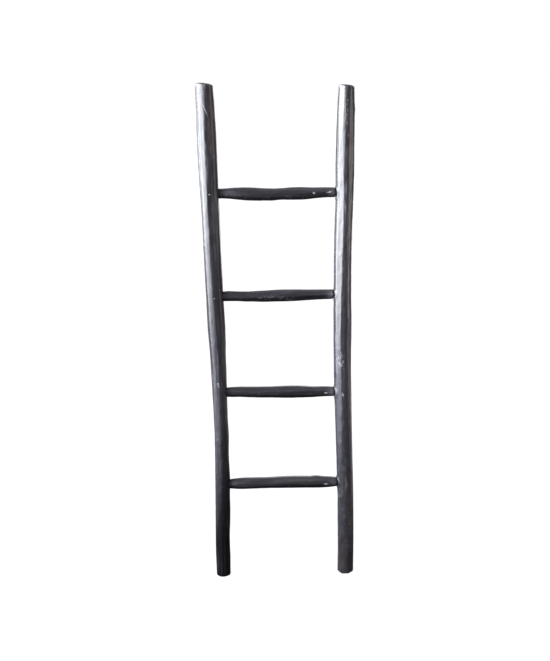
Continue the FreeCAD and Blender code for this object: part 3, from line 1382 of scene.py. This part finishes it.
@dataclass(frozen=True)
class StudioCamera:
    """A camera at the height of the ladder's head, tilted down at it."""

    frame_height: int = 661
    place: Triple = (-0.0539, -2.5397, 1.5)
    turn: float = 0.9
    tilt: float = 15.2
    roll: float = 1.0
    focal_pixels: float = 891.85
    axis_above_middle: float = 3.8
    sensor: float = 36.0

    def set_up(self) -> None:
        """Adds the camera to the scene and looks through it."""
        data = bpy.data.cameras.new("camera")
        data.sensor_width = self.sensor
        data.lens = self.focal_pixels * self.sensor / self.frame_height
        data.shift_y = -self.axis_above_middle / self.frame_height
        camera = bpy.data.objects.new("camera", data)
        bpy.context.scene.collection.objects.link(camera)
        turn, tilt, roll = (math.radians(x) for x in (self.turn, self.tilt, self.roll))
        ahead = Vector((math.sin(turn) * math.cos(tilt), math.cos(turn) * math.cos(tilt), -math.sin(tilt)))
        level = Vector((math.cos(turn), -math.sin(turn), 0.0))
        upright = level.cross(ahead)
        across = level * math.cos(roll) - upright * math.sin(roll)
        above = level * math.sin(roll) + upright * math.cos(roll)
        facing = Matrix((across, above, -ahead)).transposed()
        camera.matrix_world = Matrix.Translation(self.place) @ facing.to_4x4()
        bpy.context.scene.camera = camera


@dataclass
class Ladder:
    """The whole ladder: its rails, its rungs and its pins, with their finishes."""

    rails: list[Rail]
    rungs: list[Rung]
    pins: tuple[tuple[str, PinSteel], ...] = (
        ("left_nails", PinSteel("rubbed_pin_steel")),
        ("right_nails", PinSteel("smudged_pin_steel", clean=(0.3, 0.42))),
    )

    def build(self) -> None:
        """Makes and dresses every piece."""
        rail_finish = StainedWood("stained_rail", Run.UPRIGHT).make()
        rung_finish = StainedWood("stained_rung", Run.LEVEL).make()
        end_finish = EndGrain("stained_end_grain").make()
        for stick in [*self.rails, *self.rungs]:
            piece = stick.build()
            piece.data.materials.append(rail_finish if isinstance(stick, Rail) else rung_finish)
            piece.data.materials.append(end_finish)
        self.dress_pins()

    def dress_pins(self) -> None:
        """Gives the CAD pins their steel."""
        for node, steel in self.pins:
            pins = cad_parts[node]
            pins.data.materials.clear()
            pins.data.materials.append(steel.make())
            LOG.info("%s: dressed", node)


@dataclass(frozen=True)
class Scatter:
    """A part of a stick with small marks strewn over it, from a fixed start of the random draw."""

    seed: int
    count: int
    along: Span
    angle: Span
    scuff_length: Span = (0.002, 0.009)
    scuff_width: Span = (0.0014, 0.0026)
    scuff_depth: float = 0.0002
    scuff_bareness: Span = (0.15, 1.0)
    scuff_slant: float = 25.0
    lump_length: Span = (0.012, 0.045)
    lump_rise: Span = (0.0002, 0.0005)
    lump_spread: Span = (0.004, 0.008)

    def scuffs(self, paleness: float) -> list[Gouge]:
        """Strews small scrapes.

        Args:
            paleness: how pale the worst of them is rubbed.

        Returns:
            The scrapes.
        """
        rng = random.Random(self.seed)
        return [
            Gouge(
                rng.uniform(*self.along),
                rng.uniform(*self.angle),
                length=rng.uniform(*self.scuff_length),
                width=rng.uniform(*self.scuff_width),
                paleness=paleness * rng.uniform(*self.scuff_bareness),
                depth=self.scuff_depth,
                slant=rng.gauss(0.0, self.scuff_slant),
            )
            for _ in range(self.count)
        ]

    def lumps(self) -> list[Swell]:
        """Strews low lumps and hollows.

        Returns:
            The lumps.
        """
        rng = random.Random(self.seed)
        return [
            Swell(
                rng.uniform(*self.along),
                rng.uniform(*self.angle),
                length=rng.uniform(*self.lump_length),
                rise=rng.choice((-1.0, 1.0)) * rng.uniform(*self.lump_rise),
                spread=rng.uniform(*self.lump_spread),
            )
            for _ in range(self.count)
        ]


def left_rail() -> Rail:
    """Describes the left rail.

    Returns:
        The rail, with the marks of its own wood.
    """
    return Rail(
        "left_rail",
        seed=11,
        pin_node="left_nails",
        low_rim=(0.0003, 0.0014),
        head_rise=0.0023,
        # Painted shade and highlight: the reflection is weakened towards the foot and full at the head,
        # following how the light falls.
        sheen=((0.0, 0.06), (0.12, 0.12), (0.25, 0.34), (0.45, 0.6), (0.6, 0.78), (1.0, 0.78), (1.3, 1.0)),
        faces=(
            KnifeFlat(math.radians(8.0), 1.12, 0.8, 0.0018),
            KnifeFlat(math.radians(-80.0), 0.85, 1.3, 0.0012),
        ),
        marks=(
            Swell(0.815, 0.0, length=0.1, rise=0.0017),
            Swell(0.13, 90.0, length=0.09, rise=-0.0024, spread=0.02),
            Swell(0.33, 90.0, length=0.07, rise=0.0016, spread=0.02),
            Swell(0.47, 90.0, length=0.06, rise=0.002, spread=0.02),
            Swell(0.66, -90.0, length=0.2, rise=0.001, spread=0.02),
            Swell(1.31, -90.0, length=0.2, rise=0.003, spread=0.02),
            Swell(1.48, -90.0, length=0.06, rise=0.002, spread=0.02),
            Swell(1.16, 90.0, length=0.22, rise=0.0012, spread=0.02),
            Patch(1.4, 40.0, length=0.25, spread=0.018, paled=0.75, warm=1.0),
            Patch(0.62, 24.0, length=0.42, spread=0.016, paled=0.5, warm=0.25),
            Patch(1.1, 24.0, length=0.25, spread=0.007, paled=0.7, warm=0.4),
            Patch(0.52, 28.0, length=0.2, spread=0.014, paled=0.4, warm=0.2),
            Patch(0.98, -11.0, length=0.28, spread=0.007, paled=0.8),
            Patch(1.3, -8.0, length=0.12, spread=0.006, paled=0.6, warm=0.3),
            Patch(1.49, -36.0, length=0.045, spread=0.016, paled=0.6),
            Patch(1.485, -8.0, length=0.04, spread=0.007, paled=1.0),
            # Painted highlight: a pale rub round the head's left rim, where the lit rim shows bright.
            Gouge(1.5, -78.0, length=0.012, width=0.045, depth=0.0, paleness=0.55),
            Gouge(1.27, -6.0, length=0.06, width=0.005, depth=0.0002, paleness=0.1),
            # Painted highlight: a slanting pale streak along a knife-cut edge near the head, over a shallow
            # groove.
            Gouge(1.434, -2.0, length=0.026, width=0.0024, depth=0.0006, paleness=0.5, slant=-24.0),
            Gouge(0.642, -9.0, length=0.004, width=0.0028, depth=0.0004, paleness=0.8),
            Gouge(0.634, -6.0, length=0.005, width=0.0024, depth=0.0004, paleness=0.8),
            Knot(1.31, 38.0),
            Knot(1.06, -64.0, radius=0.014),
            Knot(0.77, 150.0, radius=0.015, rise=0.002),
            Knot(0.46, -28.0, radius=0.010),
            Knot(0.17, 62.0),
            *Scatter(81, 36, (0.2, 1.45), (-55.0, 0.0)).lumps(),
            *Scatter(71, 14, (0.55, 1.0), (-50.0, 5.0)).scuffs(paleness=0.2),
            *Scatter(72, 8, (0.28, 0.45), (-50.0, 30.0)).scuffs(paleness=0.08),
        ),
    )


def right_rail() -> Rail:
    """Describes the right rail.

    Returns:
        The rail, with the marks of its own wood.
    """
    return Rail(
        "right_rail",
        seed=23,
        pin_node="right_nails",
        paled=((0.0, 0.5), (0.3, 0.55), (0.45, 0.5), (0.6, 0.4), (0.75, 0.2), (0.95, 0.0)),
        head_rise=0.0002,
        # Painted highlight and shade: the reflection is raised above plain lacquer through the middle and
        # lowered at the foot, following how the light falls.
        sheen=((0.0, 0.7), (0.35, 0.95), (0.5, 1.15), (0.65, 1.45), (0.9, 1.52), (1.15, 1.55), (1.35, 1.3)),
        faces=(
            KnifeFlat(math.radians(-30.0), 1.1, 0.75, 0.0018),
            KnifeFlat(math.radians(-38.0), 1.45, 0.32, 0.0013),
            KnifeFlat(math.radians(-81.0), 0.98, 1.1, 0.0016),
        ),
        marks=(
            Swell(1.27, -90.0, length=0.08, rise=0.0014, spread=0.02),
            Swell(0.81, 90.0, length=0.12, rise=0.0014, spread=0.02),
            Swell(1.05, -90.0, length=0.16, rise=0.0022, spread=0.02),
            Swell(1.24, 90.0, length=0.16, rise=0.0012, spread=0.02),
            # Painted highlight: a pale rub round the head's left rim, where the lit rim shows bright.
            Gouge(1.494, -82.0, length=0.01, width=0.04, depth=0.0, paleness=0.6),
            Gouge(0.712, -44.0, length=0.012, width=0.0022, depth=0.0004, paleness=0.7),
            Gouge(0.702, -28.0, length=0.013, width=0.0022, depth=0.0005, paleness=0.85, slant=-45.0),
            Gouge(0.694, -12.0, length=0.009, width=0.0022, depth=0.0005, paleness=0.95, slant=-78.0),
            Gouge(0.7, -7.0, length=0.007, width=0.002, depth=0.0004, paleness=0.6),
            Gouge(0.706, 0.0, length=0.005, width=0.0026, depth=0.0004, paleness=0.9),
            Gouge(0.724, -9.0, length=0.015, width=0.0022, depth=0.0003, paleness=0.4, slant=-8.0),
            Gouge(0.722, -19.0, length=0.012, width=0.0022, depth=0.0003, paleness=0.4, slant=5.0),
            Gouge(0.718, -31.0, length=0.01, width=0.0022, depth=0.0003, paleness=0.45, slant=-12.0),
            Gouge(0.736, -16.0, length=0.008, width=0.002, depth=0.0003, paleness=0.3),
            Gouge(0.56, -72.0, length=0.012, width=0.004, depth=0.0003, paleness=0.5),
            Gouge(0.603, -5.0, length=0.011, width=0.0032, depth=0.0003, paleness=0.75, slant=-14.0),
            Gouge(1.165, -2.0, length=0.034, width=0.0034, depth=0.0002, paleness=0.22, slant=-8.0),
            Gouge(1.215, 5.0, length=0.03, width=0.004, depth=0.0002, paleness=0.12),
            Gouge(0.258, -84.0, length=0.03, width=0.012, depth=0.0018, paleness=0.0),
            Gouge(0.272, -66.0, length=0.008, width=0.003, depth=0.0003, paleness=0.4),
            Patch(0.315, 2.0, length=0.075, spread=0.006, paled=1.0, warm=1.0),
            Patch(0.17, 36.0, length=0.2, spread=0.012, paled=0.6, warm=0.9),
            Patch(0.03, -30.0, length=0.25, spread=0.025, paled=0.4, warm=0.4),
            Patch(0.55, 52.0, length=0.3, spread=0.009, paled=0.85, warm=0.5),
            Patch(1.0, 14.0, length=0.3, spread=0.014, paled=0.5, warm=0.5),
            Patch(0.92, 5.0, length=0.2, spread=0.011, paled=0.6, warm=0.3),
            Patch(1.18, -4.0, length=0.2, spread=0.007, paled=0.9, warm=0.1),
            Patch(1.0, -2.0, length=0.06, spread=0.006, paled=1.0),
            # Painted reflection: a brown band down the upper right side, where the warm right lamp's
            # reflection runs.
            Patch(1.36, 35.0, length=0.24, spread=0.01, paled=0.8, warm=1.0),
            Patch(1.05, -82.0, length=0.3, spread=0.008, paled=0.9),
            Patch(0.72, -22.0, length=0.16, spread=0.014, paled=0.6),
            Patch(0.6, -74.0, length=0.035, spread=0.008, paled=1.0),
            Patch(1.5, -32.0, length=0.05, spread=0.014, paled=0.8),
            Patch(0.36, -58.0, length=0.06, spread=0.006, paled=1.0),
            Patch(0.45, -40.0, length=0.25, spread=0.014, paled=0.7),
            Knot(1.43, 84.0, radius=0.008, rise=0.0012),
            Knot(1.12, -140.0, radius=0.014, rise=0.002),
            Knot(0.83, 44.0),
            Knot(0.265, -52.0, radius=0.010, rise=0.0016),
            Lip(0.6035, -90.0, width=0.005, rise=0.0022),
            Lip(0.3095, -90.0, rise=0.0022),
            Lip(0.9045, -90.0, rise=0.0012),
            Lip(1.2, -90.0, rise=0.0015),
            *Scatter(82, 60, (0.2, 1.45), (-50.0, 25.0)).lumps(),
            *Scatter(73, 70, (0.06, 0.46), (-60.0, 45.0)).scuffs(paleness=0.2),
            *Scatter(74, 12, (1.36, 1.46), (-6.0, 14.0)).scuffs(paleness=0.45),
            *Scatter(75, 16, (0.55, 0.8), (-45.0, 20.0)).scuffs(paleness=0.25),
        ),
    )


def rungs() -> list[Rung]:
    """Describes the four rungs.

    Returns:
        The rungs from the lowest up, each with the marks of its own wood.
    """
    return [
        Rung(
            "bottom_rung",
            seed=31,
            marks=(
                # Painted glint: the first mark is a pale dash on the rung's front, drawn as a scrape.
                Gouge(0.134, 0.0, length=0.01, width=0.003, paleness=0.9),
                Patch(0.04, 42.0, length=0.16, spread=0.006, paled=0.4, warm=1.0),
                Patch(0.15, 15.0, length=0.03, spread=0.012, paled=0.7),
                Gouge(0.158, 12.0, length=0.02, width=0.024, depth=0.0, paleness=0.08),
                Swell(0.02, 90.0, length=0.08, rise=0.0018, spread=0.012),
                Swell(0.105, 90.0, length=0.022, rise=0.0018, spread=0.012),
                *Scatter(77, 20, (-0.15, 0.13), (-40.0, 35.0)).scuffs(paleness=0.14),
            ),
        ),
        Rung(
            "lower_rung",
            seed=37,
            marks=(
                # Painted glint: the first mark is a pale dash on the rung's front, drawn as a scrape.
                Gouge(0.136, 3.0, length=0.009, width=0.003, paleness=0.9),
                Swell(0.04, 90.0, length=0.07, rise=0.002, spread=0.012),
                Swell(0.135, 90.0, length=0.04, rise=0.0018, spread=0.012),
                Swell(0.02, -90.0, length=0.05, rise=0.0014, spread=0.012),
                Swell(0.122, -90.0, length=0.04, rise=-0.0016, spread=0.012),
                Swell(-0.15, -90.0, length=0.03, rise=0.0014, spread=0.012),
                Patch(0.152, 10.0, length=0.03, spread=0.014, paled=0.9),
                Gouge(0.152, 10.0, length=0.022, width=0.026, depth=0.0, paleness=0.09),
                *Scatter(78, 20, (-0.1, 0.13), (-40.0, 35.0)).scuffs(paleness=0.14),
            ),
        ),
        Rung(
            "upper_rung",
            seed=41,
            marks=(
                # Painted glint: the first mark is a pale dash on the rung's front, drawn as a scrape.
                Gouge(0.152, 13.0, length=0.004, width=0.003, paleness=0.6),
                Swell(-0.055, -90.0, length=0.06, rise=0.0024, spread=0.012),
                Swell(-0.1, -90.0, length=0.03, rise=0.0012, spread=0.012),
                Swell(-0.145, 90.0, length=0.03, rise=0.0014, spread=0.012),
                Swell(-0.09, 90.0, length=0.03, rise=-0.0009, spread=0.012),
                Patch(0.152, 10.0, length=0.03, spread=0.014, paled=0.9),
                Gouge(0.152, 10.0, length=0.022, width=0.026, depth=0.0, paleness=0.09),
                *Scatter(76, 22, (-0.07, 0.06), (-40.0, 10.0)).scuffs(paleness=0.25),
            ),
        ),
        Rung(
            "top_rung",
            seed=43,
            marks=(
                # Painted glints: the first two marks are pale dashes on the rung's front, drawn as scrapes.
                Gouge(0.102, 8.0, length=0.005, width=0.0032, paleness=0.9),
                Gouge(0.146, 10.0, length=0.012, width=0.003, paleness=0.9, slant=10.0),
                Patch(-0.135, 15.0, length=0.03, spread=0.012, paled=0.8),
                Gouge(0.154, 8.0, length=0.02, width=0.026, depth=0.0, paleness=0.09),
                Swell(-0.1, 90.0, length=0.06, rise=0.0018, spread=0.012),
                Swell(0.05, 90.0, length=0.06, rise=0.0026, spread=0.012),
                Swell(-0.015, -90.0, length=0.03, rise=0.0016, spread=0.012),
                Swell(0.115, -90.0, length=0.05, rise=-0.0014, spread=0.012),
                *Scatter(79, 20, (-0.16, 0.1), (-40.0, 35.0)).scuffs(paleness=0.14),
            ),
        ),
    ]


def main() -> None:
    """Builds the ladder, its studio and its camera."""
    logging.basicConfig(level=logging.INFO, format="%(name)s: %(message)s")
    Ladder([left_rail(), right_rail()], rungs()).build()
    Studio().set_up()
    StudioCamera().set_up()


if __name__ == "__main__":
    main()
